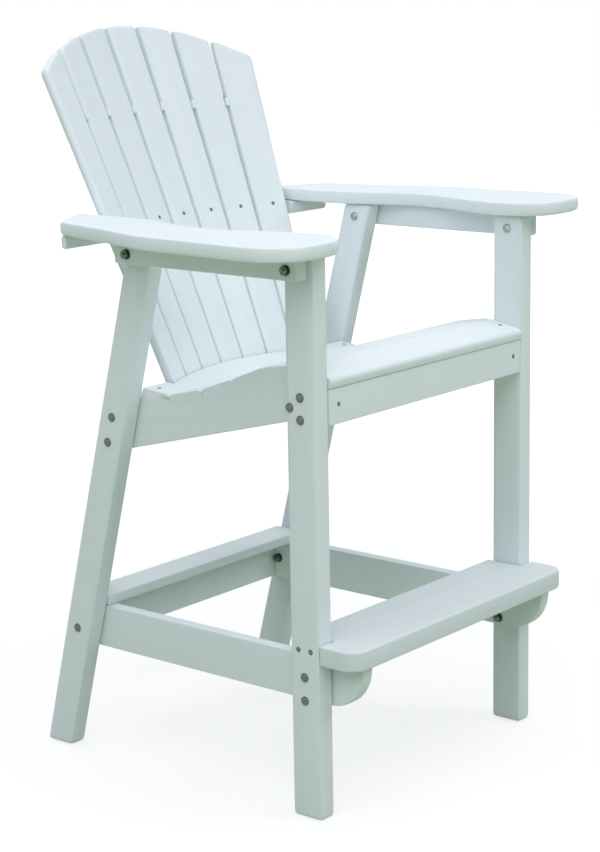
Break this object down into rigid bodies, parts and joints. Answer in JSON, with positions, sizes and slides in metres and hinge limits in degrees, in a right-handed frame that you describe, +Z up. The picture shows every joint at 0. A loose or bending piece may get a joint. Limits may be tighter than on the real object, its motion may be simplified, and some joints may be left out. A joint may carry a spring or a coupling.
{
  "type": "bar height adirondack chair",
  "caption": "Bar height adirondack chair of white poly lumber with a fanned hollow back, paddle arms, a curved slatted seat, a footrest and a bolted leg frame.",
  "frame": {"origin": "on the floor, under the middle of the chair's box", "axes": "+Z up, -Y the way the sitter faces, +X to the sitter's left"},
  "size_m": [0.914, 0.8242, 1.3349],
  "materials": {
    "poly_lumber": "satin white, faintly textured",
    "hardware": "satin stainless steel"
  },
  "bodies": {
    "root": {"front_leg_right": "poly_lumber", "front_leg_left": "poly_lumber", "rear_leg_right": "poly_lumber", "rear_leg_left": "poly_lumber", "arm_rail_right": "poly_lumber", "arm_rail_left": "poly_lumber", "arm_right": "poly_lumber", "arm_left": "poly_lumber", "seat_rail_right": "poly_lumber", "seat_rail_left": "poly_lumber", "side_stretcher_right": "poly_lumber", "side_stretcher_left": "poly_lumber", "arm_crosspiece": "poly_lumber", "seat_front_apron": "poly_lumber", "seat_slat_1": "poly_lumber", "seat_slat_2": "poly_lumber", "seat_slat_3": "poly_lumber", "seat_slat_4": "poly_lumber", "seat_slat_5": "poly_lumber", "seat_slat_6": "poly_lumber", "back_slat_1": "poly_lumber", "back_slat_2": "poly_lumber", "back_slat_3": "poly_lumber", "back_slat_4": "poly_lumber", "back_slat_5": "poly_lumber", "back_slat_6": "poly_lumber", "back_slat_7": "poly_lumber", "upper_back_brace": "poly_lumber", "lower_back_brace": "poly_lumber", "rear_stretcher": "poly_lumber", "rear_shelf_board": "poly_lumber", "footrest": "poly_lumber", "seat_bolt_front_right_1": "hardware", "seat_bolt_front_right_2": "hardware", "seat_bolt_front_right_3": "hardware", "seat_bolt_front_left_1": "hardware", "seat_bolt_front_left_2": "hardware", "seat_bolt_front_left_3": "hardware", "seat_bolt_rear_right_1": "hardware", "seat_bolt_rear_right_2": "hardware", "seat_bolt_rear_left_1": "hardware", "seat_bolt_rear_left_2": "hardware", "stretcher_bolt_front_right_1": "hardware", "stretcher_bolt_front_right_2": "hardware", "stretcher_bolt_front_left_1": "hardware", "stretcher_bolt_front_left_2": "hardware", "stretcher_bolt_rear_right_1": "hardware", "stretcher_bolt_rear_left_1": "hardware", "arm_bolt_right_1": "hardware", "arm_bolt_right_2": "hardware", "arm_bolt_left_1": "hardware", "arm_bolt_left_2": "hardware"}
  },
  "joints": []
}
